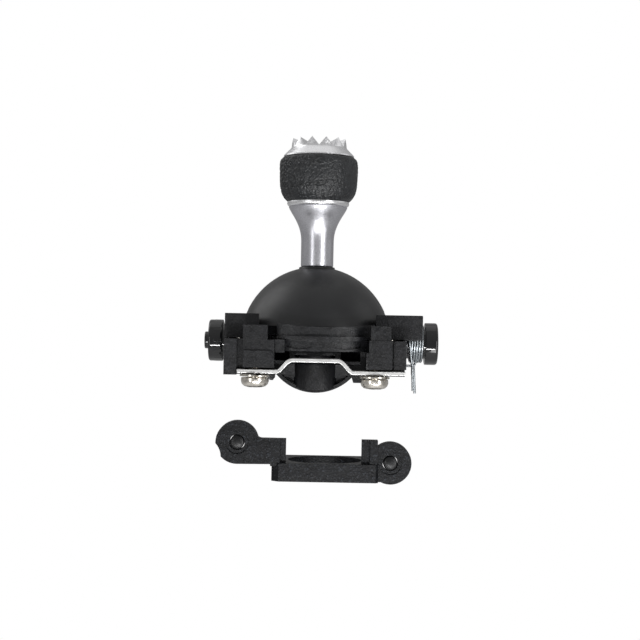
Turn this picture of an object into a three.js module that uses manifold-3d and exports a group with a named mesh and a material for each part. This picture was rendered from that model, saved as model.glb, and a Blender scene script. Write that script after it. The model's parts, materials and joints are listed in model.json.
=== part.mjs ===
// A two-axis thumb-stick gimbal module and the loose bracket that goes with it.
// Millimetres, +Z up, +X to the right and +Y away from the front.
// The origin is the point where the stick's two tilt axes cross.
import * as THREE from "three";
import { mergeVertices } from "three/addons/utils/BufferGeometryUtils.js";
import Module from "manifold-3d";

const wasm = await Module();
wasm.setup();

// ---- Driving dimensions ----
const TILT = THREE.MathUtils.degToRad(18); // how far the stick leans each way on either axis
const RUN = 0.1; // radial gap round a shaft that turns
const SEAM = 0.12; // gap between mouldings that lie flat on each other
const GAP = 0.3; // gap round a piece that sits in a cut-out

const SHAFT_R = 1.0;
const PIN_R = 0.75;
const ROD_R = 1.5;

const DOME_R = 12.1;
const DOME_WALL = 1.0;
const DOME_RIM_Z = 2.4;
const DOME_CROWN_Z = 11.95; // flat on top, under the neck
const DOME_SLEEVE = { r: 2.4, z: 10.2 }; // the collar round the rod inside the dome
const BORE_R = 12.5; // the frame's round well, which the dome turns in

const FRAME_X = 13.7; // half width
const FRAME_Y = 13.9; // half depth
const FRAME_TOP = 0.5;
const FLOOR_TOP = -3.3;
const FLOOR_BOTTOM = -4.9;
const FLOOR_OPENING_X = 8.8;
const FLOOR_OPENING_Y = 7.5;
const STRIP_RECESS_Y = -10.4; // in front of this the underside is raised for the strip
const STRIP_RECESS_Z = -3.75;

const BLOCK_BOTTOM = FRAME_TOP + SEAM;
const BLOCK_TOP = 4.45;
const BLOCK_Y = 9.8;

const COLUMN_Y = [-14.7, -11.9]; // the columns on the frame's front
const BEAM = { left: -4.6, right: 8.08, bottom: -1.2 }; // between the columns, over the open mouth
const BEAM_POCKETS = [[-4.3, -0.5], [2.7, 6.9]]; // shallow hollows in the beam's face
const LIP = { left: -5.85, right: 9.0, z: 0.62, ledgeZ: 1.05, endZ: 2.95, dipZ: 2.0 };
const LIP_R = 13.65;
const LIP_LEDGE_R = 14.3;
const LIP_APRON = { left: -4.4, right: 7.7, r: 14.0, dipZ: -0.15 }; // hangs in front of the beam

const BLOCK_SCREWS = [[-11.6, -8.2], [-11.6, 8.2], [11.6, -8.2], [11.6, 8.2], [-6.9, 12.35], [6.9, 12.35]];
const BLOCK_SCREW_SEAT = 1.2; // how far the heads sit below the blocks' tops
const SCREW_HEAD_R = 0.95;
const SCREW_HOLE_R = 0.75;

const BUSH_R = 1.8;
const BUSH_FROM = 12.65;
const BUSH_TO = 13.7;
const FINGER_DISC = [13.95, 14.4];
const SPRING_FROM = 14.85;
const SPRING_TO = 17.05;
const SPRING_R = 2.82; // to the middle of the wire
const WIRE_R = 0.25;
const SPRING_TURNS = 5;
const SPRING_CHANNEL_R = 3.4;
const SPRING_LEGS = [{ x: 15.3, z: -7.4 }, { x: 16.2, z: -8.1 }]; // front and rear ends
const SPIGOT_R = 2.4; // what a spring is slipped over
const SPIGOT_FROM = 14.6;
const DRUM_R = 3.34; // sensor housings and the end cap
const LEFT_SENSOR_FROM = 14.0;
const REAR_SENSOR_FROM = 17.45;
const MAGNET_INSET = 0.65; // from the housing's open end to the magnet
const CAP_FROM = 17.4;
const CAP_TO = 19.4;

const CRADLE_INNER = 4.0;
const CRADLE_OUTER = 5.6;
const CRADLE_HALF_Z = 1.4;

const ARCH_OUTER = { y: 8.4, z: 9.8 };
const ARCH_INNER = { y: 6.9, z: 8.4 };
const ARCH_HALF_X = 3.2;
const ARCH_SLOT = { x: 1.95, y: 5.2 };
const ARCH_FOOT_Z = -1.9;

const BRIDGE_Y = [-9.7, -8.7]; // the post in front of the arch that holds its front pin
const BRIDGE_HALF_X = 3.9;
const BRIDGE_LEG = 0.8;

const HUB_R = 3.45;
const HUB_TOP_Z = -3.2;
const HUB_BOTTOM_Z = -7.85;
const HUB_END_R = 7.8; // the lower end is round about the tilt axis, like the rim behind it
const WEB_R = 8.05;
const WEB_HALF_ANGLE = THREE.MathUtils.degToRad(50);

const NECK_BOTTOM_Z = 12.02;
const NECK_TOP_Z = 21.6;
const CORE_TOP_Z = 29.3;
const SLEEVE_R = 4.4; // the grip's bore
const CROWN_BASE_Z = 29.6;
const CROWN_TIP_Z = 32.4;
const CROWN_TOOTH_COUNT = 12;

const STRIP_THICK = 0.5;
const STRIP_LOW_Z = -4.38; // mid-thickness
const STRIP_HIGH_Z = -2.53;
const STRIP_Y = [-14.2, -10.7];
const STRIP_SCREW = { x: 9.0, y: -12.8, seatZ: -5.3 };
const STRIP_WASHER_Z = -5.2;

const BRACKET = { left: -6.5, right: 10.1, top: -18.8, bottom: -21.65, halfY: 6.8, post: -15.05 };
const POST_Y = { outer: -6.5, inner: -5.9, back: -4.4 };
const EAR_PIN_R = 1.1;
const EAR_RECESS_R = 1.8;
const EAR_NOTCH = { x: -17.4, z: -18.0, r: 3.0 }; // the bite out of the left ear's side

// ---- Finishes ----
const finish = (color, roughness, metalness) =>
  new THREE.MeshStandardMaterial({ color, roughness, metalness });
const BLACK_MOULDING = finish(0x1c1d1f, 0.6, 0);
const GLOSS_BLACK = finish(0x0c0d0f, 0.2, 0);
const DOME_BLACK = finish(0x2a2b2d, 0.5, 0);
const SATIN_ALUMINIUM = finish(0xa9a9ae, 0.4, 0.9);
const RUBBER = finish(0x1b1c1e, 0.8, 0);
const PLATED_STEEL = finish(0xc9c9c6, 0.25, 1);
const NICKEL = finish(0xb9b2a3, 0.3, 1);
const STEEL = finish(0x9a9b9d, 0.3, 1);
const BRONZE = finish(0x8a6a3c, 0.45, 0.9);
const MAGNET = finish(0x6d6e70, 0.4, 0.9);

// ---- Solids ----
// A geometry becomes a manifold solid once its shared corners are merged.
function solid(geometry) {
  const bare = geometry.index ? geometry.toNonIndexed() : geometry.clone();
  bare.deleteAttribute("normal");
  bare.deleteAttribute("uv");
  const merged = mergeVertices(bare, 1e-4);
  const mesh = new wasm.Mesh({
    numProp: 3,
    vertProperties: merged.attributes.position.array,
    triVerts: new Uint32Array(merged.index.array),
  });
  return new wasm.Manifold(mesh);
}

function box([x0, x1], [y0, y1], [z0, z1]) {
  const g = new THREE.BoxGeometry(x1 - x0, y1 - y0, z1 - z0);
  return solid(g.translate((x0 + x1) / 2, (y0 + y1) / 2, (z0 + z1) / 2));
}

// A cylinder along the axis "x", "y" or "z", from one coordinate to another.
function rod(axis, r, [from, to], sides = 32, r2 = r) {
  const g = new THREE.CylinderGeometry(r2, r, to - from, sides);
  g.translate(0, (from + to) / 2, 0);
  if (axis === "z") g.rotateX(Math.PI / 2);
  if (axis === "x") g.rotateZ(-Math.PI / 2);
  return solid(g);
}

// Turned about Z. The profile lists [radius, z] from the bottom up, ending on the axis or where it began.
function turned(profile, sides = 48) {
  const points = profile.map(([r, z]) => new THREE.Vector2(r, z));
  return solid(new THREE.LatheGeometry(points, sides).rotateX(Math.PI / 2));
}

// An outline drawn in X and Z, pushed from y0 to y1.
function slabXZ(shape, [y0, y1], curveSegments = 12) {
  const g = new THREE.ExtrudeGeometry(shape, { depth: y1 - y0, bevelEnabled: false, curveSegments });
  return solid(g.rotateX(Math.PI / 2).translate(0, y1, 0));
}

// An outline drawn in Y and Z, pushed from x0 to x1.
function slabYZ(shape, [x0, x1], curveSegments = 12) {
  const g = new THREE.ExtrudeGeometry(shape, { depth: x1 - x0, bevelEnabled: false, curveSegments });
  const turn = new THREE.Matrix4().makeBasis(
    new THREE.Vector3(0, 1, 0),
    new THREE.Vector3(0, 0, 1),
    new THREE.Vector3(1, 0, 0),
  );
  return solid(g.applyMatrix4(turn).translate(x0, 0, 0));
}

const polygon = (points) => new THREE.Shape(points.map(([a, b]) => new THREE.Vector2(a, b)));

function circle(x, y, r) {
  const shape = new THREE.Shape();
  shape.absarc(x, y, r, 0, 2 * Math.PI);
  return shape;
}

const joined = (...solids) => solids.reduce((sum, s) => sum.add(s));
const cut = (body, ...tools) => tools.reduce((left, t) => left.subtract(t), body);

// ---- Nodes ----
function node(name, body, material) {
  const m = body.getMesh();
  const g = new THREE.BufferGeometry();
  const corners = new Float32Array(m.numVert * 3);
  for (let i = 0; i < m.numVert; i++)
    corners.set(m.vertProperties.subarray(i * m.numProp, i * m.numProp + 3), i * 3);
  g.setAttribute("position", new THREE.BufferAttribute(corners, 3));
  g.setIndex(new THREE.BufferAttribute(new Uint32Array(m.triVerts), 1));
  const mesh = new THREE.Mesh(g, material);
  mesh.name = name;
  return mesh;
}

function placed(mesh, x, y, z, turnZ = 0) {
  mesh.position.set(x, y, z);
  mesh.rotation.z = turnZ;
  return mesh;
}

function group(...children) {
  const g = new THREE.Group();
  g.add(...children);
  return g;
}

const TO_REAR = Math.PI / 2; // turns a piece made along +X to lie along +Y
const TO_LEFT = Math.PI;

// ---- Frame ----
const wellCut = () => rod("z", BORE_R, [FLOOR_TOP, BLOCK_TOP + 1], 48);

const stripScrewHole = (side, r, z, sides) =>
  rod("z", r, z, sides).translate(side * STRIP_SCREW.x, STRIP_SCREW.y, 0);

// What the front beam loses so that its face is round, about the well's axis.
function beamTrim() {
  const inFront = box([BEAM.left, BEAM.right], [-16, -9], [BEAM.bottom - 0.1, FRAME_TOP + 0.1]);
  return inFront.subtract(rod("z", FRAME_Y, [BEAM.bottom - 1, FRAME_TOP + 1], 72));
}

// A hollow in the beam's round face, with a curved lower edge.
function beamPocket([left, right]) {
  const depth = 0.35;
  const top = FRAME_TOP - 0.15;
  const outline = new THREE.Shape();
  outline.moveTo(left, top);
  outline.lineTo(left, top - 0.95);
  outline.quadraticCurveTo((left + right) / 2, BEAM.bottom, right, top - 0.95);
  outline.lineTo(right, top);
  outline.closePath();
  const core = rod("z", FRAME_Y - depth, [BEAM.bottom - 1, FRAME_TOP + 1], 72);
  return slabXZ(outline, [-16, -9], 12).subtract(core);
}

// The post inside the well: two legs, a bar and the round boss of the arch's front pin.
function archPost() {
  const outer = BRIDGE_HALF_X;
  const inner = BRIDGE_HALF_X - BRIDGE_LEG;
  const foot = FLOOR_BOTTOM + 0.4;
  const barBottom = -1.2;
  const barTop = 1.2;
  const outline = polygon([
    [-outer, foot],
    [-inner, foot],
    [-inner, barBottom - 0.7],
    [-inner + 0.7, barBottom],
    [inner - 0.7, barBottom],
    [inner, barBottom - 0.7],
    [inner, foot],
    [outer, foot],
    [outer, barTop - 0.6],
    [outer - 0.6, barTop],
    [-outer + 0.6, barTop],
    [-outer, barTop - 0.6],
  ]);
  return joined(slabXZ(outline, BRIDGE_Y), slabXZ(circle(0, 0, 2.1), BRIDGE_Y, 16));
}

// Short stops under the floor, on each side of the mouth.
function floorStops() {
  const y = [-9.8, -8.2];
  const left = polygon([[-7.2, -4.7], [-7.2, -5.4], [-6.85, -5.8], [-6.4, -5.8], [-6.1, -5.4], [-6.1, -4.7]]);
  const right = polygon([[5.5, -4.7], [5.9, -6.0], [7.4, -6.0], [7.8, -5.3], [7.8, -4.7]]);
  return joined(slabXZ(left, y), slabXZ(right, y));
}

function leftColumn() {
  const ledge = polygon([[-10.6, -2.24], [-6.5, -2.24], [-6.2, -1.75], [-6.6, -1.2], [-10.6, -1.2]]);
  return joined(
    box([-10.8, -7.15], COLUMN_Y, [FRAME_TOP - 1, 2.63]),
    box([-10.75, -6.1], COLUMN_Y, [STRIP_RECESS_Z - 0.3, 0.38]),
    slabXZ(ledge, [-15.05, -14]),
  );
}

function rightColumn() {
  return joined(
    box([8.08, 11.55], COLUMN_Y, [STRIP_RECESS_Z - 0.3, 0.57]),
    box([8.3, 11.35], [COLUMN_Y[0] + 0.15, COLUMN_Y[1]], [0, 2.75]),
  );
}

// The front face stands in columns, with a beam between them and an open mouth below it.
function gimbalFrame() {
  const walls = box([-FRAME_X, FRAME_X], [-FRAME_Y, FRAME_Y], [FLOOR_BOTTOM, FRAME_TOP]);
  const endBlock = box([-6.0, BEAM.left], [-14.25, -12.9], [-1.45, FRAME_TOP]);
  const slotY = [-14.8, -13.2];
  const slotZ = [STRIP_RECESS_Z - 0.5, FRAME_TOP + 0.1];
  const body = cut(
    joined(walls.subtract(beamTrim()), leftColumn(), rightColumn(), endBlock),
    box([-11.75, -10.8], slotY, slotZ),
    box([11.55, 11.85], slotY, slotZ),
    wellCut(),
    ...BEAM_POCKETS.map(beamPocket),
  );

  const floorCut = [FLOOR_BOTTOM - 1, FLOOR_TOP + 0.1];
  const opened = cut(
    body,
    box([-FLOOR_OPENING_X, FLOOR_OPENING_X], [-FLOOR_OPENING_Y, FLOOR_OPENING_Y], floorCut),
    box([-3.1, 3.1], [-12, -FLOOR_OPENING_Y + 1], floorCut),
    box([-6.1, 7.7], [-16, STRIP_RECESS_Y], [-6, BEAM.bottom]).subtract(endBlock),
    box([-11.8, FRAME_X + 1], [-16, STRIP_RECESS_Y], [-6, STRIP_RECESS_Z]),
  );

  const bushSeats = [
    rod("x", BUSH_R + GAP, [-FRAME_X - 1, -12], 24),
    rod("x", BUSH_R + GAP, [12, FRAME_X + 1], 24),
    rod("y", BUSH_R + GAP, [12, FRAME_Y + 1], 24),
    rod("y", PIN_R + RUN, [BRIDGE_Y[0] - 1, BRIDGE_Y[1] + 0.5], 24),
  ];
  const screwHoles = [
    ...BLOCK_SCREWS.map(([x, y]) => rod("z", SCREW_HOLE_R, [-3, FRAME_TOP + 1], 12).translate(x, y, 0)),
    ...[-1, 1].map((side) => stripScrewHole(side, 0.95, [-5, -0.6], 12)),
  ];
  return cut(joined(opened, archPost(), floorStops()), ...bushSeats, ...screwHoles);
}

// The rim in front of the dome. Its upper edge dips in the middle, and so does the apron below its ledge.
function frontLip() {
  const middle = (LIP.left + LIP.right) / 2;
  const outline = new THREE.Shape();
  outline.moveTo(LIP.left, LIP.z);
  outline.lineTo(LIP.right, LIP.z);
  outline.lineTo(LIP.right, LIP.endZ);
  outline.quadraticCurveTo(middle, LIP.dipZ, LIP.left, LIP.endZ);
  outline.closePath();
  const bore = rod("z", BORE_R, [-1, 5], 72);
  const ring = rod("z", LIP_R, [LIP.z, 4], 72).subtract(bore);
  const ledge = rod("z", LIP_LEDGE_R, [LIP.z, LIP.ledgeZ], 72).subtract(bore);
  const { left, right, dipZ } = LIP_APRON;
  const apronTop = LIP.z + 0.2;
  const apronEnd = LIP.z - 0.05;
  const hanging = new THREE.Shape();
  hanging.moveTo(left, apronTop);
  hanging.lineTo(left, apronEnd);
  hanging.quadraticCurveTo((left + right) / 2, dipZ, right, apronEnd);
  hanging.lineTo(right, apronTop);
  hanging.closePath();
  const curtain = rod("z", LIP_LEDGE_R, [-1, 1], 72).subtract(rod("z", LIP_APRON.r, [-2, 2], 72));
  const apron = curtain.intersect(slabXZ(hanging, [-16, -8], 20));
  return joined(joined(ring, ledge).intersect(slabXZ(outline, [-16, -8], 20)), apron);
}

// ---- Bearing blocks, which close over the shafts ----
function counterbored(block) {
  const seatZ = BLOCK_TOP - BLOCK_SCREW_SEAT - 0.1;
  const holes = BLOCK_SCREWS.flatMap(([x, y]) => [
    rod("z", SCREW_HOLE_R, [-1, BLOCK_TOP], 12).translate(x, y, 0),
    rod("z", SCREW_HEAD_R + GAP, [seatZ, BLOCK_TOP + 1], 20).translate(x, y, 0),
  ]);
  return cut(block, ...holes);
}

function leftBearingBlock() {
  const block = box([-13.9, -8.7], [-BLOCK_Y, BLOCK_Y], [BLOCK_BOTTOM, 4.35]);
  return counterbored(cut(block, wellCut(), rod("x", BUSH_R + GAP, [-15, -12], 24)));
}

function rightBearingBlock() {
  const z = [BLOCK_BOTTOM, BLOCK_TOP];
  const block = joined(box([9.2, FRAME_X], [-BLOCK_Y, BLOCK_Y], z), box([12.4, 16.4], [-BLOCK_Y, 3.9], z));
  return counterbored(
    cut(
      block,
      wellCut(),
      rod("x", BUSH_R + GAP, [12, 14.2], 24),
      rod("x", SPRING_CHANNEL_R, [FINGER_DISC[0] - GAP, 17], 24),
    ),
  );
}

function rearBearingBlock() {
  const z = [BLOCK_BOTTOM, BLOCK_TOP];
  const block = joined(box([-8.4, 8.4], [9.1, FRAME_Y], z), box([-4.3, 4.3], [12.8, 20.0], z));
  return counterbored(
    cut(
      block,
      wellCut(),
      rod("y", BUSH_R + GAP, [12, 14.2], 24),
      rod("y", SPRING_CHANNEL_R, [FINGER_DISC[0] - GAP, 17.3], 24),
      rod("y", DRUM_R + GAP, [17.2, 21], 24),
    ),
  );
}

// ---- Pieces made along +X, used on more than one shaft ----
const shaftBore = (from, to) => rod("x", SHAFT_R + RUN, [from, to], 24);
const bush = () => rod("x", BUSH_R, [BUSH_FROM, BUSH_TO], 32).subtract(shaftBore(12, 15));
const springSpigot = (to) => rod("x", SPIGOT_R, [SPIGOT_FROM, to], 24).subtract(shaftBore(14, to + 1));

// A cup round the magnet, with flats on its rim and a short stub on its back.
function sensorHousing(from) {
  const shell = joined(
    rod("x", 2.7, [from, from + 0.9], 32),
    rod("x", DRUM_R - 0.35, [from + 0.7, from + 1.05], 10, DRUM_R),
    rod("x", DRUM_R, [from + 1.05, from + 2.65], 10),
    rod("x", DRUM_R, [from + 2.65, from + 3.0], 10, DRUM_R - 0.35),
    rod("x", 1.35, [from + 2.9, from + 3.7], 20),
  );
  return cut(shell, rod("x", 2.2, [from - 1, from + 2.2], 24));
}

// The rear housing also holds its spring.
const rearSensorHousing = () => joined(sensorHousing(REAR_SENSOR_FROM), springSpigot(REAR_SENSOR_FROM + 0.1));

// A thin disc on the shaft, with a cranked finger that hangs between the spring's legs.
function centringFinger() {
  const disc = rod("x", 2.6, FINGER_DISC, 24);
  const arm = slabXZ(
    polygon([
      [FINGER_DISC[0], -1.5],
      [FINGER_DISC[0], -3.75],
      [15.35, -3.75],
      [15.35, -5.0],
      [15.85, -5.0],
      [15.85, -3.35],
      [FINGER_DISC[1], -3.35],
      [FINGER_DISC[1], -1.5],
    ]),
    [-0.4, 0.4],
  );
  return joined(disc, arm).subtract(shaftBore(13, 15));
}

// Wound wire with both legs hanging, one on each side of the finger.
class SpringPath extends THREE.Curve {
  getPoint(t, target = new THREE.Vector3()) {
    const legA = new THREE.Vector3(SPRING_LEGS[0].x, -SPRING_R, SPRING_LEGS[0].z);
    const legB = new THREE.Vector3(SPRING_LEGS[1].x, SPRING_R, SPRING_LEGS[1].z);
    const startLeg = 0.09;
    if (t < startLeg) {
      const top = new THREE.Vector3(SPRING_FROM, -SPRING_R, 0);
      return target.lerpVectors(legA, top, t / startLeg);
    }
    if (t > 1 - startLeg) {
      const top = new THREE.Vector3(SPRING_TO, SPRING_R, 0);
      return target.lerpVectors(top, legB, (t - 1 + startLeg) / startLeg);
    }
    const u = (t - startLeg) / (1 - 2 * startLeg);
    const angle = Math.PI - u * (2 * (SPRING_TURNS - 1) + 1) * Math.PI;
    const x = SPRING_FROM + u * (SPRING_TO - SPRING_FROM);
    return target.set(x, SPRING_R * Math.cos(angle), SPRING_R * Math.sin(angle));
  }
}

function torsionSpring() {
  const section = new THREE.Shape();
  const corners = 5;
  for (let i = 0; i < corners; i++) {
    const a = (i / corners) * 2 * Math.PI;
    const [x, y] = [WIRE_R * Math.cos(a), WIRE_R * Math.sin(a)];
    if (i) section.lineTo(x, y);
    else section.moveTo(x, y);
  }
  return solid(new THREE.ExtrudeGeometry(section, { steps: 72, extrudePath: new SpringPath() }));
}

// ---- Strip and its fasteners ----
// A flat band bent along a line in X and Z, with mitred corners.
function bentBand(line, thick, y) {
  const side = (sign) =>
    line.map((p, i) => {
      const before = line[Math.max(i - 1, 0)];
      const after = line[Math.min(i + 1, line.length - 1)];
      const a = new THREE.Vector2(p[0] - before[0], p[1] - before[1]).normalize();
      const b = new THREE.Vector2(after[0] - p[0], after[1] - p[1]).normalize();
      if (i === 0) a.copy(b);
      if (i === line.length - 1) b.copy(a);
      const along = a.clone().add(b).normalize();
      const reach = thick / 2 / along.dot(a);
      return [p[0] - sign * along.y * reach, p[1] + sign * along.x * reach];
    });
  return slabXZ(polygon([...side(-1), ...side(1).reverse()]), y);
}

function tensionStrip() {
  const line = [
    [-11.7, STRIP_LOW_Z],
    [-5.45, STRIP_LOW_Z],
    [-5.0, STRIP_LOW_Z + 0.25],
    [-3.95, STRIP_HIGH_Z - 0.25],
    [-3.45, STRIP_HIGH_Z],
    [3.45, STRIP_HIGH_Z],
    [3.95, STRIP_HIGH_Z - 0.25],
    [5.0, STRIP_LOW_Z + 0.25],
    [5.45, STRIP_LOW_Z],
    [13.6, STRIP_LOW_Z],
  ];
  const holes = [-1, 1].map((side) => stripScrewHole(side, 1.1, [-6, 0], 20));
  return cut(bentBand(line, STRIP_THICK, STRIP_Y), ...holes);
}

const crossRecess = (half, wide, [z0, z1]) =>
  joined(box([-half, half], [-wide, wide], [z0, z1]), box([-wide, wide], [-half, half], [z0, z1]));

// Head down, for the strip: z = 0 is the bearing face of the head.
function stripScrew() {
  const head = [[0, -1.5], [1.2, -1.45], [1.85, -1.15], [2.1, -0.6], [2.1, 0]];
  const shank = [[0.8, 0], [0.8, 4.3], [0, 4.5]];
  return turned([...head, ...shank], 20).subtract(crossRecess(1.15, 0.24, [-1.7, -0.75]));
}

function stripWasher() {
  return cut(rod("z", 2.3, [0, 0.42], 32), rod("z", 1.05, [-1, 1], 20), box([1, 3], [-0.12, 0.12], [-1, 1]));
}

// Head up, for the bearing blocks: z = 0 is the bearing face of the head.
function blockScrew() {
  const shank = [[0, -5.1], [0.55, -4.8], [0.55, 0]];
  const head = [[SCREW_HEAD_R, 0], [SCREW_HEAD_R, 0.55], [0.7, 0.85], [0, 0.9]];
  return turned([...shank, ...head], 12).subtract(crossRecess(0.62, 0.14, [0.45, 1.5]));
}

// ---- Cradle, which leans about X ----
function cradleRing() {
  const half = CRADLE_OUTER;
  const chamfer = 1.4;
  const outline = polygon([
    [-half, -half + chamfer],
    [-half + chamfer, -half],
    [half - chamfer, -half],
    [half, -half + chamfer],
    [half, half - chamfer],
    [half - chamfer, half],
    [-half + chamfer, half],
    [-half, half - chamfer],
  ]);
  const plate = new THREE.ExtrudeGeometry(outline, { depth: 2 * CRADLE_HALF_Z, bevelEnabled: false });
  return cut(
    solid(plate.translate(0, 0, -CRADLE_HALF_Z)),
    box([-CRADLE_INNER, CRADLE_INNER], [-CRADLE_INNER, CRADLE_INNER], [-2, 2]),
    rod("x", SHAFT_R + RUN, [-6, 6], 24),
    rod("y", PIN_R + RUN, [-6, 6], 24),
  );
}

const cradleShaft = (to) => rod("x", SHAFT_R, [4.2, to], 24);

function endCap() {
  const shell = joined(
    rod("x", DRUM_R - 0.15, [CAP_FROM, CAP_FROM + 0.15], 32, DRUM_R),
    rod("x", DRUM_R, [CAP_FROM + 0.15, CAP_TO - 0.5], 32),
    rod("x", DRUM_R, [CAP_TO - 0.5, CAP_TO - 0.15], 32, DRUM_R - 0.15),
    rod("x", DRUM_R - 0.15, [CAP_TO - 0.15, CAP_TO], 32, DRUM_R - 0.5),
  );
  return joined(shell, springSpigot(CAP_FROM + 0.1)).subtract(shaftBore(14, CAP_FROM + 1.3));
}

const magnet = (from) => rod("x", 1.9, [from, from + 1.2], 24).subtract(shaftBore(from - 1, from + 3));

// ---- Stick, which leans about Y in the cradle ----
function stickHub() {
  const column = turned(
    [
      [0, HUB_BOTTOM_Z],
      [HUB_R - 0.3, HUB_BOTTOM_Z],
      [HUB_R, HUB_BOTTOM_Z + 0.3],
      [HUB_R, HUB_TOP_Z - 0.3],
      [HUB_R - 0.3, HUB_TOP_Z],
      [2.6, HUB_TOP_Z + 0.3],
      [2.6, 2.9],
      [2.3, 3.2],
      [0, 3.2],
    ],
    40,
  );
  const down = -Math.PI / 2;
  const sector = (r, half) => {
    const shape = new THREE.Shape();
    shape.moveTo(0, 0);
    shape.absarc(0, 0, r, down - half, down + half);
    shape.closePath();
    return shape;
  };
  const web = slabXZ(sector(WEB_R - 0.2, WEB_HALF_ANGLE), [-0.6, 0.6], 20);
  const rim = cut(
    slabXZ(sector(WEB_R, WEB_HALF_ANGLE), [-1.7, 1.7], 20),
    rod("y", WEB_R - 0.55, [-3, 3], 72),
  );
  const clear = box([-9, 9], [-3, 3], [HUB_TOP_Z, 1]);
  const ribs = box([-4.9, 4.9], [-1.3, 1.3], [-5.6, HUB_TOP_Z]);
  const skirt = joined(web, ribs).subtract(clear);
  const arcEnd = rod("y", HUB_END_R, [-4, 4], 72).intersect(box([-4, 4], [-4, 4], [-9, HUB_TOP_Z]));
  const above = box([-4, 4], [-4, 4], [HUB_TOP_Z - 0.1, 4]);
  return cut(
    joined(column.intersect(joined(arcEnd, above)), skirt, rim),
    rod("y", PIN_R + RUN, [-4, 4], 24),
    rod("z", ROD_R + RUN, [1.5, 5], 24),
  );
}

function dome() {
  const outer = [];
  const inner = [];
  const steps = 8;
  const start = Math.asin(DOME_RIM_Z / DOME_R);
  const end = Math.asin(DOME_CROWN_Z / DOME_R);
  const innerR = DOME_R - DOME_WALL;
  const innerStart = Math.asin(DOME_RIM_Z / innerR);
  const innerEnd = Math.acos(DOME_SLEEVE.r / innerR);
  for (let i = 0; i <= steps; i++) {
    const a = start + ((end - start) * i) / steps;
    const b = innerEnd + ((innerStart - innerEnd) * i) / steps;
    outer.push([DOME_R * Math.cos(a), DOME_R * Math.sin(a)]);
    inner.push([innerR * Math.cos(b), innerR * Math.sin(b)]);
  }
  const bore = ROD_R + RUN;
  const sleeve = [[bore, DOME_CROWN_Z], [bore, DOME_SLEEVE.z], [DOME_SLEEVE.r, DOME_SLEEVE.z]];
  const shell = turned([...outer, ...sleeve, ...inner, outer[0]], 36);
  const notchTop = DOME_R * Math.sin(TILT) + SHAFT_R + 0.26;
  return cut(
    shell,
    box([-14, -8], [-1.4, 1.4], [0, notchTop]),
    box([8, 14], [-1.4, 1.4], [0, notchTop]),
    box([-2.6, 2.6], [8, 14], [0, notchTop]),
  );
}

// ---- Arch, which leans about Y in the frame and carries a slot for the rod ----
function archYoke() {
  const half = (size, foot) => {
    const shape = new THREE.Shape();
    shape.moveTo(size.y, foot);
    shape.lineTo(size.y, 0);
    shape.absellipse(0, 0, size.y, size.z, 0, Math.PI);
    shape.lineTo(-size.y, foot);
    shape.closePath();
    return shape;
  };
  const wide = [-ARCH_HALF_X, ARCH_HALF_X];
  return cut(
    slabYZ(half(ARCH_OUTER, ARCH_FOOT_Z), wide, 14),
    slabYZ(half(ARCH_INNER, ARCH_FOOT_Z - 1), [-4, 4], 14),
    box([-ARCH_SLOT.x, ARCH_SLOT.x], [-ARCH_SLOT.y, ARCH_SLOT.y], [3, 11]),
    rod("y", PIN_R + RUN, [-9, -6], 24),
    rod("y", SHAFT_R + RUN, [6, 9], 24),
  );
}

// ---- Stick head ----
function lockNeck() {
  const profile = [
    [ROD_R + RUN, NECK_BOTTOM_Z],
    [2.5, NECK_BOTTOM_Z],
    [2.6, NECK_BOTTOM_Z + 0.1],
    [2.6, 16.5],
    [2.85, 17.8],
    [3.34, 19.1],
    [3.95, 20.2],
    [4.4, 20.9],
    [4.68, 21.5],
    [4.6, NECK_TOP_Z],
    [ROD_R + RUN, NECK_TOP_Z],
    [ROD_R + RUN, NECK_BOTTOM_Z],
  ];
  return turned(profile, 24);
}

function headCore() {
  const bore = ROD_R + RUN;
  const ring = [[4.75, 21.7], [4.85, 21.85], [4.83, 22.15], [4.1, 22.2]];
  return turned([[bore, 21.7], ...ring, [4.1, CORE_TOP_Z], [bore, CORE_TOP_Z], [bore, 21.7]], 24);
}

function gripSleeve() {
  const bottom = 22.4;
  const top = CORE_TOP_Z + 0.1;
  const flare = [[5.0, bottom], [5.5, 22.9], [5.95, 23.7], [6.22, 24.8]];
  const barrel = [[6.3, 26.0], [6.3, 28.6], [6.22, 29.1], [5.95, top]];
  return turned([[SLEEVE_R, bottom], ...flare, ...barrel, [SLEEVE_R, top], [SLEEVE_R, bottom]], 24);
}

// A dished top, cut across by V grooves into a ring of points.
function crownCap() {
  const base = [[0, CROWN_BASE_Z], [5.5, CROWN_BASE_Z], [5.5, 29.85]];
  const skirt = [[5.2, 30.15], [4.85, 30.5], [4.5, 30.85], [4.4, 31.2]];
  const dish = [[4.25, CROWN_TIP_Z], [3.1, 32.1], [1.6, 31.5], [0, 31.4]];
  const vee = slabXZ(polygon([[0, 31.2], [1.2, 32.6], [-1.2, 32.6]]), [-6, 6]);
  const grooves = [];
  for (let i = 0; i < CROWN_TOOTH_COUNT / 2; i++) {
    grooves.push(vee.rotate([0, 0, (i * 360) / CROWN_TOOTH_COUNT]));
  }
  const screwWell = rod("z", 1.5, [30.2, 34], 24);
  const screwHole = rod("z", 0.8, [29, 34], 20);
  return cut(turned([...base, ...skirt, ...dish], 24), ...grooves, screwWell, screwHole);
}

function crownScrew() {
  const shank = [[0, 26], [0.6, 26.1], [0.6, 30.4]];
  const head = [[1.25, 30.4], [1.25, 30.9], [0.9, 31.1], [0, 31.1]];
  return turned([...shank, ...head], 16).subtract(crossRecess(0.7, 0.16, [30.7, 32]));
}

// ---- Loose bracket ----
const LEFT_EAR = { x: -11.9, z: -15.7, r: 3.36, y: [-6.5, -4.3] };
const RIGHT_EAR = { x: 12.0, z: -18.6, r: 3.3, y: [-6.0, -4.0] };

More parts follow.
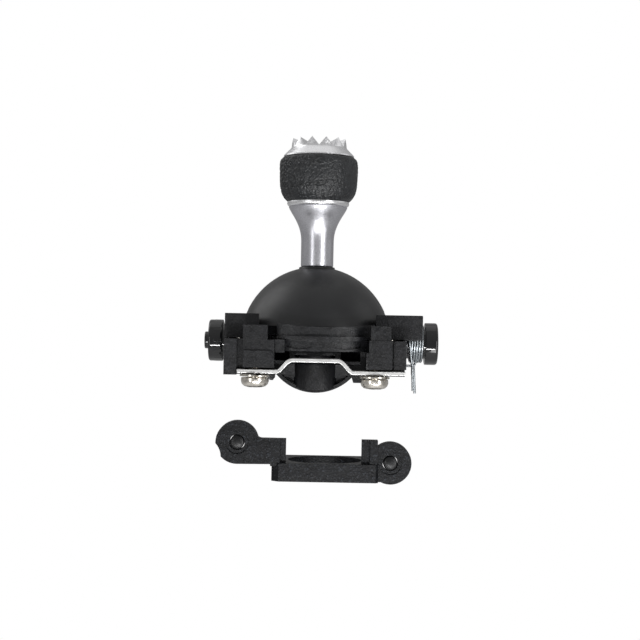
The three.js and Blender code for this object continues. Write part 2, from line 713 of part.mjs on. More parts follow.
function bracket() {
  const b = BRACKET;
  const chamfer = 1.1;
  const bar = new THREE.ExtrudeGeometry(
    polygon([
      [b.left, -b.halfY + chamfer],
      [b.left + chamfer, -b.halfY],
      [b.right - 0.4, -b.halfY],
      [b.right, -b.halfY + 0.4],
      [b.right, b.halfY - chamfer],
      [b.right - chamfer, b.halfY],
      [b.left + chamfer, b.halfY],
      [b.left, b.halfY - chamfer],
    ]),
    { depth: b.top - b.bottom, bevelEnabled: false },
  ).translate(0, 0, b.bottom);
  const postZ = [b.top - 0.5, b.post];
  const posts = [
    box([-6.7, -5.2], [POST_Y.outer, POST_Y.back], postZ),
    box([-5.3, -4.3], [POST_Y.inner, POST_Y.back], postZ),
    box([8.8, 10.0], [POST_Y.outer, POST_Y.back], postZ),
    box([7.5, 8.9], [POST_Y.inner, POST_Y.back], postZ),
  ];
  const web = new THREE.Shape();
  web.moveTo(-6.0, -19.0);
  web.lineTo(LEFT_EAR.x, LEFT_EAR.z - LEFT_EAR.r);
  web.lineTo(LEFT_EAR.x, LEFT_EAR.z + 1.5);
  web.lineTo(-9.0, LEFT_EAR.z + 1.5);
  web.quadraticCurveTo(-8.75, b.post, -8.0, b.post);
  web.lineTo(-6.0, b.post);
  web.closePath();
  const disc = (ear) => slabXZ(circle(ear.x, ear.z, ear.r), ear.y, 20);
  const leftEar = joined(disc(LEFT_EAR), slabXZ(web, LEFT_EAR.y, 10));
  const rightWeb = box([9.4, RIGHT_EAR.x], RIGHT_EAR.y, [b.bottom + 0.1, b.top + 2.4]);
  const rightEar = joined(disc(RIGHT_EAR), rightWeb);
  const eyes = [LEFT_EAR, RIGHT_EAR].flatMap((ear) => [
    rod("y", EAR_PIN_R + RUN, [-8, -2], 24).translate(ear.x, 0, ear.z),
    rod("y", EAR_RECESS_R, [-8, ear.y[0] + 0.25], 32).translate(ear.x, 0, ear.z),
  ]);
  return cut(
    joined(solid(bar), ...posts, leftEar, rightEar),
    rod("z", 5.9, [-25, -17], 36).translate(1.8, 0, 0),
    rod("y", EAR_NOTCH.r, [-8, -2], 40).translate(EAR_NOTCH.x, 0, EAR_NOTCH.z),
    ...eyes,
  );
}

function earPin(ear) {
  const [front, back] = ear.y;
  const shank = rod("y", EAR_PIN_R, [front + 0.2, back + 0.4], 24);
  return joined(shank, rod("y", 0.75, [front - 0.05, front + 0.2], 24, EAR_PIN_R));
}

// ---- Assembly ----
const root = new THREE.Group();

root.add(
  group(
    node("gimbal_frame", gimbalFrame(), BLACK_MOULDING),
    node("front_lip", frontLip(), BLACK_MOULDING),
    node("left_bearing_block", leftBearingBlock(), BLACK_MOULDING),
    node("right_bearing_block", rightBearingBlock(), BLACK_MOULDING),
    node("rear_bearing_block", rearBearingBlock(), BLACK_MOULDING),
    placed(node("right_bush", bush(), BRONZE), 0, 0, 0),
    placed(node("left_bush", bush(), BRONZE), 0, 0, 0, TO_LEFT),
    placed(node("rear_bush", bush(), BRONZE), 0, 0, 0, TO_REAR),
    placed(node("left_sensor_housing", sensorHousing(LEFT_SENSOR_FROM), GLOSS_BLACK), 0, 0, 0, TO_LEFT),
    placed(node("rear_sensor_housing", rearSensorHousing(), GLOSS_BLACK), 0, 0, 0, TO_REAR),
    placed(node("right_torsion_spring", torsionSpring(), STEEL), 0, 0, 0),
    placed(node("rear_torsion_spring", torsionSpring(), STEEL), 0, 0, 0, TO_REAR),
    node("tension_strip", tensionStrip(), PLATED_STEEL),
  ),
);

const sides = [["left", -1], ["right", 1]];
for (const [side, sign] of sides) {
  const [x, y] = [sign * STRIP_SCREW.x, STRIP_SCREW.y];
  root.add(placed(node(`${side}_strip_washer`, stripWasher(), NICKEL), x, y, STRIP_WASHER_Z, sign * 0.9));
  root.add(placed(node(`${side}_strip_screw`, stripScrew(), NICKEL), x, y, STRIP_SCREW.seatZ, sign * 0.4));
}

BLOCK_SCREWS.forEach(([x, y], i) => {
  const name = ["left_front", "left_rear", "right_front", "right_rear", "rear_left", "rear_right"][i];
  const seatZ = BLOCK_TOP - BLOCK_SCREW_SEAT;
  root.add(placed(node(`${name}_block_screw`, blockScrew(), NICKEL), x, y, seatZ, 0.5 * i));
});

const cradle = group(
  node("cradle_ring", cradleRing(), BLACK_MOULDING),
  placed(node("right_cradle_shaft", cradleShaft(CAP_FROM + 1.2), STEEL), 0, 0, 0),
  placed(node("left_cradle_shaft", cradleShaft(15.9), STEEL), 0, 0, 0, TO_LEFT),
  node("right_centring_finger", centringFinger(), STEEL),
  node("right_end_cap", endCap(), GLOSS_BLACK),
  placed(node("left_magnet", magnet(LEFT_SENSOR_FROM + MAGNET_INSET), MAGNET), 0, 0, 0, TO_LEFT),
  node("stick_pin", rod("y", PIN_R, [-5.5, 5.5], 24), STEEL),
);

const stickHead = group(
  node("lock_neck", lockNeck(), SATIN_ALUMINIUM),
  node("head_core", headCore(), SATIN_ALUMINIUM),
  node("grip_sleeve", gripSleeve(), RUBBER),
  group(node("crown_cap", crownCap(), SATIN_ALUMINIUM), node("crown_screw", crownScrew(), NICKEL)),
);

cradle.add(
  group(
    node("stick_hub", stickHub(), BLACK_MOULDING),
    node("stick_rod", rod("z", ROD_R, [1.6, 25.5], 32), STEEL),
    node("dome", dome(), DOME_BLACK),
    stickHead,
  ),
);

const arch = group(
  node("arch_yoke", archYoke(), BLACK_MOULDING),
  node("arch_front_pin", rod("y", PIN_R, [BRIDGE_Y[0], -7.0], 24), STEEL),
  node("arch_rear_shaft", rod("y", SHAFT_R, [7.0, 19.4], 24), STEEL),
  placed(node("rear_centring_finger", centringFinger(), STEEL), 0, 0, 0, TO_REAR),
  placed(node("rear_magnet", magnet(REAR_SENSOR_FROM + MAGNET_INSET), MAGNET), 0, 0, 0, TO_REAR),
);

const looseBracket = group(
  node("bracket", bracket(), BLACK_MOULDING),
  placed(node("left_ear_pin", earPin(LEFT_EAR), DOME_BLACK), LEFT_EAR.x, 0, LEFT_EAR.z),
  placed(node("right_ear_pin", earPin(RIGHT_EAR), DOME_BLACK), RIGHT_EAR.x, 0, RIGHT_EAR.z),
);

root.add(cradle, arch, looseBracket);

export default root;
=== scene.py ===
"""Looks for the two-axis thumb-stick gimbal module and its loose bracket.

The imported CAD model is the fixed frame. Round, sprung and grained pieces are remade here at a finer
resolution around it, and every other CAD node keeps its own solid with softened edges and a finish.
Lengths are millimetres until settle() brings a finished piece to metres, and +Z is up.
"""
import json
import math

import bmesh
import bpy
from mathutils import Matrix, Vector, noise


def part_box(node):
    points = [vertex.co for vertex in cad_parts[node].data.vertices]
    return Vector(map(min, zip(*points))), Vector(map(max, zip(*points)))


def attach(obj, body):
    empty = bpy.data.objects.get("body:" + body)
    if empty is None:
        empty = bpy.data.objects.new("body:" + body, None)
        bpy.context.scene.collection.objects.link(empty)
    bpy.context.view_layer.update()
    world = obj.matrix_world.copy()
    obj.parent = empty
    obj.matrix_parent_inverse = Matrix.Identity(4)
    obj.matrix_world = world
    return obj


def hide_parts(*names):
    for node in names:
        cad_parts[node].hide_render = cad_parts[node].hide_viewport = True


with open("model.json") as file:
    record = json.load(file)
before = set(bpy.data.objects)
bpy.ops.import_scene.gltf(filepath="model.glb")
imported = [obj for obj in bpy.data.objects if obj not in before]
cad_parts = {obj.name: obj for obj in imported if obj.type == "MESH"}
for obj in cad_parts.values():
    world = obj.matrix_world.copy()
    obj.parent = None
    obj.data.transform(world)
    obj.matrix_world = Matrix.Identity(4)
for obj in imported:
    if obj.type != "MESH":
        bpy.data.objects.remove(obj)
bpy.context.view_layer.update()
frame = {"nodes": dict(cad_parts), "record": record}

MM = 0.001


def low(node, axis):
    """A CAD node's lowest coordinate along X, Y or Z, in millimetres."""
    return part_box(node)[0][axis] / MM


def high(node, axis):
    """A CAD node's highest coordinate along X, Y or Z, in millimetres."""
    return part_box(node)[1][axis] / MM


X, Y, Z = 0, 1, 2

# Places that several pieces share, in millimetres.
STICK_BORE_R = 1.6
SHAFT_BORE_R = 1.1
SPIGOT_R = 2.4
LEFT_SENSOR_START = 14.0
REAR_SENSOR_START = 17.45
REAR_SPIGOT_START = 14.6
STRIP_SCREW_X = 9.0
STRIP_SCREW_Y = -12.8
STRIP_SCREW_Z = -5.3

# ---------------------------------------------------------------- camera, light and floor

EYE = Vector((0.64, -217.6, 3.52)) * MM
LENS = 76.5
ROLL = math.radians(1.07)
FLOOR_Z = -150 * MM


def make_camera():
    data = bpy.data.cameras.new("camera")
    data.sensor_width = 36
    data.lens = LENS
    data.clip_start = 0.01
    camera = bpy.data.objects.new("camera", data)
    bpy.context.scene.collection.objects.link(camera)
    turn = Matrix.Rotation(math.pi / 2, 4, "X") @ Matrix.Rotation(ROLL, 4, "Z")
    camera.matrix_world = Matrix.Translation(EYE) @ turn
    bpy.context.scene.camera = camera


def area_light(name, place, target, size, energy):
    data = bpy.data.lights.new(name, "AREA")
    data.shape = "RECTANGLE"
    data.size, data.size_y = size[0] * MM, size[1] * MM
    data.energy = energy
    light = bpy.data.objects.new(name, data)
    bpy.context.scene.collection.objects.link(light)
    place, target = Vector(place) * MM, Vector(target) * MM
    aim = (target - place).to_track_quat("-Z", "Y").to_matrix().to_4x4()
    light.matrix_world = Matrix.Translation(place) @ aim
    light.visible_camera = False


def make_lights():
    area_light("key", (150, -185, -25), (0, 0, 8), (60, 190), 0.2)
    area_light("fill", (-135, -190, -20), (0, 0, 8), (36, 170), 0.075)
    area_light("low_front", (0, -172, -92), (0, 0, 0), (100, 12), 0.16)
    area_light("low_key", (50, -120, -100), (0, 0, 18), (40, 40), 0.03)
    area_light("left_box", (-190, 60, 160), (0, 0, 5), (170, 200), 0.15)
    area_light("right_box", (220, 20, 110), (0, 0, 5), (120, 160), 0.03)
    area_light("top_box", (0, 40, 260), (0, 0, 20), (220, 200), 0.04)


def make_world():
    """White behind the object for the camera. As light it is brightest above and dimmest below and behind."""
    world = bpy.data.worlds.new("studio")
    bpy.context.scene.world = world
    world.use_nodes = True
    nodes, links = world.node_tree.nodes, world.node_tree.links
    nodes.clear()
    out = nodes.new("ShaderNodeOutputWorld")
    mix = nodes.new("ShaderNodeMixShader")
    seen = nodes.new("ShaderNodeBackground")
    seen.inputs["Color"].default_value = (1, 1, 1, 1)
    lit = nodes.new("ShaderNodeBackground")
    path = nodes.new("ShaderNodeLightPath")
    place = nodes.new("ShaderNodeTexCoord")
    split = nodes.new("ShaderNodeSeparateXYZ")
    total = nodes.new("ShaderNodeMath")
    links.new(place.outputs["Generated"], split.inputs[0])
    slopes = (("Y", 1, -1, 0.12, 0.16), ("Z", -1, 1, -0.06, 0.34))
    for k, (axis, first, last, dim, bright) in enumerate(slopes):
        ramp = nodes.new("ShaderNodeMapRange")
        for name, value in (("From Min", first), ("From Max", last), ("To Min", dim), ("To Max", bright)):
            ramp.inputs[name].default_value = value
        links.new(split.outputs[axis], ramp.inputs["Value"])
        links.new(ramp.outputs[0], total.inputs[k])
    links.new(total.outputs[0], lit.inputs["Color"])
    links.new(path.outputs["Is Camera Ray"], mix.inputs[0])
    links.new(lit.outputs[0], mix.inputs[1])
    links.new(seen.outputs[0], mix.inputs[2])
    links.new(mix.outputs[0], out.inputs["Surface"])


def make_floor():
    """A pale floor well below, since the module is held up by its housing."""
    bpy.ops.mesh.primitive_plane_add(size=8, location=(0, 0, FLOOR_Z))
    floor = bpy.context.object
    floor.name = "floor"
    material = bpy.data.materials.new("floor_white")
    material.use_nodes = True
    nodes, links = material.node_tree.nodes, material.node_tree.links
    nodes.clear()
    out = nodes.new("ShaderNodeOutputMaterial")
    mix = nodes.new("ShaderNodeMixShader")
    glow = nodes.new("ShaderNodeEmission")
    glow.inputs["Color"].default_value = (1, 1, 1, 1)
    matt = nodes.new("ShaderNodeBsdfDiffuse")
    matt.inputs["Color"].default_value = (0.8, 0.8, 0.8, 1)
    path = nodes.new("ShaderNodeLightPath")
    links.new(path.outputs["Is Camera Ray"], mix.inputs[0])
    links.new(matt.outputs[0], mix.inputs[1])
    links.new(glow.outputs[0], mix.inputs[2])
    links.new(mix.outputs[0], out.inputs["Surface"])
    floor.data.materials.append(material)


# ---------------------------------------------------------------- finishes


class Finish:
    """A Principled material with noise in its colour, roughness and relief. Scales are in cells per mm."""

    def __init__(self, name, colour, roughness, metallic=0.0, specular=0.5, coat=0.0):
        self.material = bpy.data.materials.new(name)
        self.material.use_nodes = True
        self.nodes = self.material.node_tree.nodes
        self.links = self.material.node_tree.links
        self.shader = self.nodes["Principled BSDF"]
        self.shader.inputs["Base Color"].default_value = (*colour, 1)
        self.shader.inputs["Roughness"].default_value = roughness
        self.shader.inputs["Metallic"].default_value = metallic
        self.shader.inputs["Specular IOR Level"].default_value = specular
        self.shader.inputs["Coat Weight"].default_value = coat
        self.shader.inputs["Coat Roughness"].default_value = 0.08
        self.colour = colour
        self.place = self.nodes.new("ShaderNodeTexCoord").outputs["Object"]
        self.height = None

    def noise(self, per_mm, detail=3.0, stretch=(1, 1, 1)):
        mapping = self.nodes.new("ShaderNodeMapping")
        mapping.inputs["Scale"].default_value = [s / MM for s in stretch]
        texture = self.nodes.new("ShaderNodeTexNoise")
        texture.inputs["Scale"].default_value = per_mm
        texture.inputs["Detail"].default_value = detail
        self.links.new(self.place, mapping.inputs["Vector"])
        self.links.new(mapping.outputs[0], texture.inputs["Vector"])
        return texture.outputs["Fac"]

    def ranged(self, value, low_value, high_value, from_low=0.3, from_high=0.7):
        node = self.nodes.new("ShaderNodeMapRange")
        node.inputs["From Min"].default_value = from_low
        node.inputs["From Max"].default_value = from_high
        node.inputs["To Min"].default_value = low_value
        node.inputs["To Max"].default_value = high_value
        self.links.new(value, node.inputs["Value"])
        return node.outputs[0]

    def mottled(self, per_mm, dark, light, detail=3.0, stretch=(1, 1, 1)):
        """The colour wanders between dark and light times itself."""
        mix = self.nodes.new("ShaderNodeMix")
        mix.data_type = "RGBA"
        mix.inputs["A"].default_value = (*[c * dark for c in self.colour], 1)
        mix.inputs["B"].default_value = (*[min(c * light, 1) for c in self.colour], 1)
        self.links.new(self.ranged(self.noise(per_mm, detail, stretch), 0, 1), mix.inputs["Factor"])
        self.links.new(mix.outputs["Result"], self.shader.inputs["Base Color"])
        return self

    def specks(self, per_mm, colour, start=0.58, full=0.72):
        """Small lighter grains on top of the mottled colour."""
        mix = self.nodes.new("ShaderNodeMix")
        mix.data_type = "RGBA"
        self.links.new(self.shader.inputs["Base Color"].links[0].from_socket, mix.inputs["A"])
        mix.inputs["B"].default_value = (*colour, 1)
        self.links.new(self.ranged(self.noise(per_mm, 1.0), 0, 1, start, full), mix.inputs["Factor"])
        self.links.new(mix.outputs["Result"], self.shader.inputs["Base Color"])
        return self

    def rough(self, per_mm, smooth, coarse, stretch=(1, 1, 1)):
        value = self.ranged(self.noise(per_mm, 2.0, stretch), smooth, coarse)
        self.links.new(value, self.shader.inputs["Roughness"])
        return self

    def relief(self, height, depth_mm):
        bump = self.nodes.new("ShaderNodeBump")
        bump.inputs["Distance"].default_value = depth_mm * MM
        bump.inputs["Strength"].default_value = 1.0
        self.links.new(height, bump.inputs["Height"])
        if self.height is not None:
            self.links.new(self.height, bump.inputs["Normal"])
        self.height = bump.outputs[0]
        self.links.new(self.height, self.shader.inputs["Normal"])
        return self

    def grain(self, per_mm, depth_mm, detail=2.0, stretch=(1, 1, 1)):
        return self.relief(self.noise(per_mm, detail, stretch), depth_mm)

    def pebbles(self, per_mm, depth_mm):
        """Creases round small cushions, as on grained leather."""
        mapping = self.nodes.new("ShaderNodeMapping")
        mapping.inputs["Scale"].default_value = [1 / MM] * 3
        cells = self.nodes.new("ShaderNodeTexVoronoi")
        cells.feature = "SMOOTH_F1"
        cells.inputs["Scale"].default_value = per_mm
        cells.inputs["Smoothness"].default_value = 0.4
        self.links.new(self.place, mapping.inputs["Vector"])
        self.links.new(mapping.outputs[0], cells.inputs["Vector"])
        return self.relief(self.ranged(cells.outputs["Distance"], 1, 0, 0, 0.7), depth_mm)


def make_finishes():
    moulding = Finish("black_moulding", (0.0055, 0.0057, 0.0068), 0.42, specular=0.36)
    moulding.mottled(0.5, 0.5, 1.6).specks(4.5, (0.025, 0.026, 0.03), 0.56, 0.8)
    moulding.rough(1.5, 0.32, 0.52).grain(0.5, 0.05).grain(3.6, 0.035)
    # The bracket's copy of the black moulding: its stronger specks are its own speckled grain, while its
    # darker base colour and weaker reflection are painted shade.
    speckled_shaded = Finish("speckled_shaded_moulding", (0.0035, 0.0038, 0.0048), 0.42, specular=0.22)
    speckled_shaded.mottled(0.5, 0.5, 1.6).specks(3.6, (0.032, 0.036, 0.044), 0.58, 0.8)
    speckled_shaded.rough(1.5, 0.32, 0.52).grain(0.5, 0.05).grain(3.6, 0.035)
    gloss = Finish("gloss_black", (0.004, 0.0042, 0.005), 0.1, coat=0.3)
    gloss.mottled(0.5, 0.7, 1.3).rough(1.2, 0.07, 0.14).grain(0.6, 0.015)
    dome = Finish("dome_charcoal", (0.0105, 0.0108, 0.0118), 0.4)
    dome.mottled(0.25, 0.85, 1.15).rough(0.5, 0.36, 0.43).grain(10, 0.003)
    satin = Finish("satin_aluminium", (0.6, 0.6, 0.635), 0.3, metallic=1)
    satin.mottled(6, 0.85, 1.15, 2).rough(5, 0.28, 0.36).grain(5.5, 0.012)
    # A lighter copy of the satin aluminium: its higher base colour is a painted highlight on the core's ring,
    # and the crown is given the same copy.
    bright = Finish("bright_aluminium", (0.9, 0.9, 0.92), 0.3, metallic=1)
    bright.mottled(6, 0.9, 1.1, 2).rough(5, 0.26, 0.38).grain(5.5, 0.012)
    pin = Finish("pin_black", (0.005, 0.0052, 0.006), 0.34, specular=0.36)
    pin.mottled(0.8, 0.7, 1.3).rough(1.5, 0.3, 0.4).grain(6, 0.004)
    leather = Finish("grained_rubber", (0.0125, 0.0135, 0.015), 0.42)
    leather.mottled(1.2, 0.6, 1.6).rough(2.2, 0.3, 0.46).pebbles(3.4, 0.06).grain(8, 0.012)
    strip = Finish("plated_strip", (0.86, 0.86, 0.85), 0.34, metallic=1)
    strip.mottled(0.8, 0.9, 1.05).rough(2, 0.28, 0.4, (1, 8, 8)).grain(3, 0.003, 2, (1, 10, 10))
    nickel = Finish("warm_nickel", (0.82, 0.78, 0.71), 0.2, metallic=1)
    nickel.mottled(1.5, 0.7, 1.1).rough(2.5, 0.12, 0.3).grain(4, 0.01)
    steel = Finish("ground_steel", (0.5, 0.51, 0.53), 0.3, metallic=1)
    steel.mottled(1.5, 0.75, 1.15).rough(3, 0.22, 0.4).grain(6, 0.004)
    wire = Finish("spring_wire", (0.42, 0.45, 0.47), 0.24, metallic=1)
    wire.mottled(2, 0.65, 1.25).rough(3, 0.18, 0.36)
    bronze = Finish("sintered_bronze", (0.35, 0.2, 0.08), 0.45, metallic=1)
    bronze.mottled(3, 0.6, 1.2).rough(4, 0.35, 0.6).grain(8, 0.01)
    magnet = Finish("magnet_plating", (0.3, 0.3, 0.31), 0.3, metallic=1)
    magnet.mottled(1, 0.8, 1.1).rough(2, 0.22, 0.38)
    finishes = {
        "black_moulding": moulding,
        "gloss_black": gloss,
        "dome_black": dome,
        "satin_aluminium": satin,
        "bright_aluminium": bright,
        "pin_black": pin,
        "speckled_shaded_moulding": speckled_shaded,
        "grip_leather": leather,
        "plated_strip": strip,
        "warm_nickel": nickel,
        "shaft_steel": steel,
        "spring_steel": wire,
        "bush_bronze": bronze,
        "magnet": magnet,
    }
    return {slot: finish.material for slot, finish in finishes.items()}


# ---------------------------------------------------------------- outlines and meshes


def rounded(points, radius, steps=4):
    """A polyline with its inner corners turned into short arcs. A point's third number is its own radius."""
    made = []
    last = len(points) - 1
    for i, point in enumerate(points):
        here = Vector(point[:2])
        own = point[2] if len(point) > 2 else radius
        if own == 0 or i in (0, last):
            made.append(here)
            continue
        before = Vector(points[i - 1][:2]) - here
        after = Vector(points[i + 1][:2]) - here
        reach = min(own, before.length * 0.45, after.length * 0.45)
        a, b = here + before.normalized() * reach, here + after.normalized() * reach
        for k in range(steps + 1):
            t = k / steps
            made.append(a * (1 - t) ** 2 + here * 2 * t * (1 - t) + b * t**2)
    return made


def object_from(name, bm, material, smooth_angle=35):
    """A mesh object still in millimetres, which is what booleans and rounding are done in."""
    bmesh.ops.recalc_face_normals(bm, faces=bm.faces)
    mesh = bpy.data.meshes.new(name)
    bm.to_mesh(mesh)
    bm.free()
    for face in mesh.polygons:
        face.use_smooth = True
    mesh.set_sharp_from_angle(angle=math.radians(smooth_angle))
    mesh.materials.append(material)
    made = bpy.data.objects.new(name, mesh)
    bpy.context.scene.collection.objects.link(made)
    return made


def turned(profile, segments, move=Matrix.Identity(4)):
    """A turned body. Its (radius, height) points start and end on the axis, or else close on themselves."""
    bm = bmesh.new()
    rings = []
    for r, z in profile:
        if r < 1e-6:
            rings.append([bm.verts.new(move @ Vector((0, 0, z)))])
            continue
        angles = [2 * math.pi * k / segments for k in range(segments)]
        rings.append([bm.verts.new(move @ Vector((r * math.cos(a), r * math.sin(a), z))) for a in angles])
    on_axis = len(rings[0]) == 1 and len(rings[-1]) == 1
    pairs = zip(rings, rings[1:]) if on_axis else zip(rings, rings[1:] + rings[:1])
    for lower, upper in pairs:
        for k in range(segments):
            n = (k + 1) % segments
            if len(lower) == 1 and len(upper) == 1:
                continue
            if len(lower) == 1:
                bm.faces.new((lower[0], upper[n], upper[k]))
            elif len(upper) == 1:
                bm.faces.new((lower[k], lower[n], upper[0]))
            else:
                bm.faces.new((lower[k], lower[n], upper[n], upper[k]))
    return bm


def pushed(outline, start, end, move=Matrix.Identity(4)):
    """A prism with the outline's (a, b) pairs in its plane, from start to end along the third axis."""
    bm = bmesh.new()
    near = [bm.verts.new(move @ Vector((a, b, start))) for a, b in outline]
    far = [bm.verts.new(move @ Vector((a, b, end))) for a, b in outline]
    bm.faces.new(near)
    bm.faces.new(reversed(far))
    for k in range(len(outline)):
        n = (k + 1) % len(outline)
        bm.faces.new((near[k], near[n], far[n], far[k]))
    return bm


def skinned(bm, rings):
    """Joins each ring of vertices to the next one, and closes both ends."""
    count = len(rings[0])
    for below, above in zip(rings, rings[1:]):
        for k in range(count):
            n = (k + 1) % count
            bm.faces.new((below[k], below[n], above[n], above[k]))
    bm.faces.new(list(reversed(rings[0])))
    bm.faces.new(rings[-1])


ALONG_X = Matrix(((0, 0, 1, 0), (1, 0, 0, 0), (0, 1, 0, 0), (0, 0, 0, 1)))
ALONG_Y = Matrix(((1, 0, 0, 0), (0, 0, -1, 0), (0, 1, 0, 0), (0, 0, 0, 1)))
TO_REAR = Matrix.Rotation(math.pi / 2, 4, "Z")
TO_LEFT = Matrix.Rotation(math.pi, 4, "Z")


def apply_modifiers(obj):
    graph = bpy.context.evaluated_depsgraph_get()
    done = bpy.data.meshes.new_from_object(obj.evaluated_get(graph))
    obj.modifiers.clear()
    obj.data = done


def cut(target, cutter, operation="DIFFERENCE"):
    """Applies a boolean with a temporary object, which is then removed."""
    modifier = target.modifiers.new("cut", "BOOLEAN")
    modifier.object = cutter
    modifier.operation = operation
    modifier.solver = "EXACT"
    apply_modifiers(target)
    bpy.data.objects.remove(cutter)


def softened(obj, width, segments=2, angle=40):
    """Rounds the edges sharper than angle. The width is in the mesh's own unit."""
    modifier = obj.modifiers.new("soft_edges", "BEVEL")
    modifier.width = width
    modifier.segments = segments
    modifier.limit_method = "ANGLE"
    modifier.angle_limit = math.radians(angle)
    modifier.harden_normals = True
    return obj


def settle(obj, body, node):
    """Brings a finished piece to metres, hangs it on its body and hides the CAD node it stands for."""
    if obj.modifiers:
        apply_modifiers(obj)
    obj.data.transform(Matrix.Scale(MM, 4))
    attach(obj, body)
    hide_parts(node)


# ---------------------------------------------------------------- stick and head


def make_dome(finish):
    """A thin spherical shell with a sleeve round the stick and three notches in its rim."""
    rim_z = low("dome", Z)
    radius = math.hypot(high("dome", X), rim_z)
    crown_z = high("dome", Z)
    wall = 1.0
    inner = radius - wall
    sleeve_r, sleeve_z, bore = 2.4, 10.2, STICK_BORE_R + 0.02

    def arc(r, start, end, steps):
        angles = [start + (end - start) * k / steps for k in range(steps + 1)]
        return [(r * math.cos(a), r * math.sin(a)) for a in angles]

    outer_end = math.acos(2.9 / radius)
    profile = arc(radius, math.asin((rim_z + 0.12) / radius), outer_end, 36)
    profile += [(2.8, crown_z - 0.03), (2.7, crown_z), (bore, crown_z)]
    profile += [(bore, sleeve_z), (sleeve_r, sleeve_z)]
    profile += arc(inner, math.acos(sleeve_r / inner), math.asin((rim_z + 0.02) / inner), 28)
    profile += [(inner + 0.1, rim_z), (math.sqrt(radius**2 - rim_z**2) - 0.12, rim_z)]
    dome = object_from("dome_shell", turned(profile, 144), finish, 30)
    notch_top, shaft_half, arch_half, inside, beyond = 5.0, 1.4, 2.6, 8, 14
    for x0, x1, y0, y1 in (
        (-beyond, -inside, -shaft_half, shaft_half),
        (inside, beyond, -shaft_half, shaft_half),
        (-arch_half, arch_half, inside, beyond),
    ):
        notch = pushed([(x0, y0), (x1, y0), (x1, y1), (x0, y1)], 0, notch_top)
        cut(dome, object_from("notch", notch, finish))
    dome.data.set_sharp_from_angle(angle=math.radians(30))
    settle(dome, "stick", "dome")


def make_neck(finish):
    """The plain neck, which flares out under the head."""
    bottom, top = high("dome", Z) + 0.01, high("lock_neck", Z)
    profile = [
        (STICK_BORE_R, bottom),
        (2.45, bottom),
        (2.6, bottom + 0.15),
        (2.6, 15.5),
        (2.61, 16.4),
        (2.68, 17.1),
        (2.85, 17.85),
        (3.1, 18.55),
        (3.42, 19.25),
        (3.82, 19.95),
        (4.2, 20.55),
        (4.52, 21.1),
        (4.68, top - 0.12),
        (4.58, top),
        (STICK_BORE_R, top),
    ]
    smooth = rounded(profile[:-3], 0.35, 5) + [Vector(p) for p in profile[-3:]]
    neck = object_from("neck_turned", turned(smooth, 96), finish, 40)
    settle(neck, "head", "lock_neck")


def make_core(finish):
    """The head's core, whose lower edge shows as a ring under the grip."""
    bottom, top = high("lock_neck", Z) + 0.01, high("head_core", Z)
    profile = [(STICK_BORE_R, bottom), (4.66, bottom), (4.86, bottom + 0.15), (4.96, bottom + 0.42)]
    profile += [(4.92, bottom + 0.72), (4.1, bottom + 0.76), (4.1, top), (STICK_BORE_R, top)]
    core = object_from("core_turned", turned(profile, 96), finish, 40)
    settle(core, "head", "head_core")


# noise_vector starts from the clock without a seed, and the creases then differ from run to run.
GRAIN_SEED = 1


def make_grip(finish):
    """A barrel of grained rubber, with creases of real relief that are deepest on the left."""
    bottom, top = low("grip_sleeve", Z), high("grip_sleeve", Z)
    outline = [(4.95, bottom), (5.3, bottom + 0.3), (5.68, 23.2), (6.03, 23.95), (6.17, 24.8), (6.25, 26.0)]
    outline += [(6.27, 27.2), (6.26, 28.2), (6.2, 28.75), (6.05, 29.1), (5.8, 29.32), (5.6, top), (5.2, top)]
    curve = rounded(outline, 0.5, 5)
    inner_r, outside_r, fineness, segments = 4.4, 4.9, 0.14, 288
    fine = []
    for a, b in zip(curve, curve[1:]):
        pieces = max(1, round((b - a).length / fineness))
        fine += [a.lerp(b, k / pieces) for k in range(pieces)]
    profile = [(inner_r, bottom), *fine, curve[-1], (inner_r, top)]
    bm = turned(profile, segments)
    noise.seed_set(GRAIN_SEED)
    for vertex in bm.verts:
        x, y, z = vertex.co
        r = math.hypot(x, y)
        if r < outside_r:
            continue
        fade = min(1, (z - bottom) / 0.5, (top - z) / 0.5)
        wander = noise.noise_vector(vertex.co * 0.9) * 0.45
        cell = noise.voronoi(vertex.co * 2.0 + wander)[0]
        crease = min(1.0, (cell[1] - cell[0]) / 0.28)
        swell = noise.noise(vertex.co * 0.55)
        left = 0.5 - 0.5 * x / r
        lift = ((crease - 1) * (0.07 + 0.13 * left) + swell * 0.04) * fade
        vertex.co.x += x / r * lift
        vertex.co.y += y / r * lift
    settle(object_from("grip_grained", bm, finish, 60), "head", "grip_sleeve")


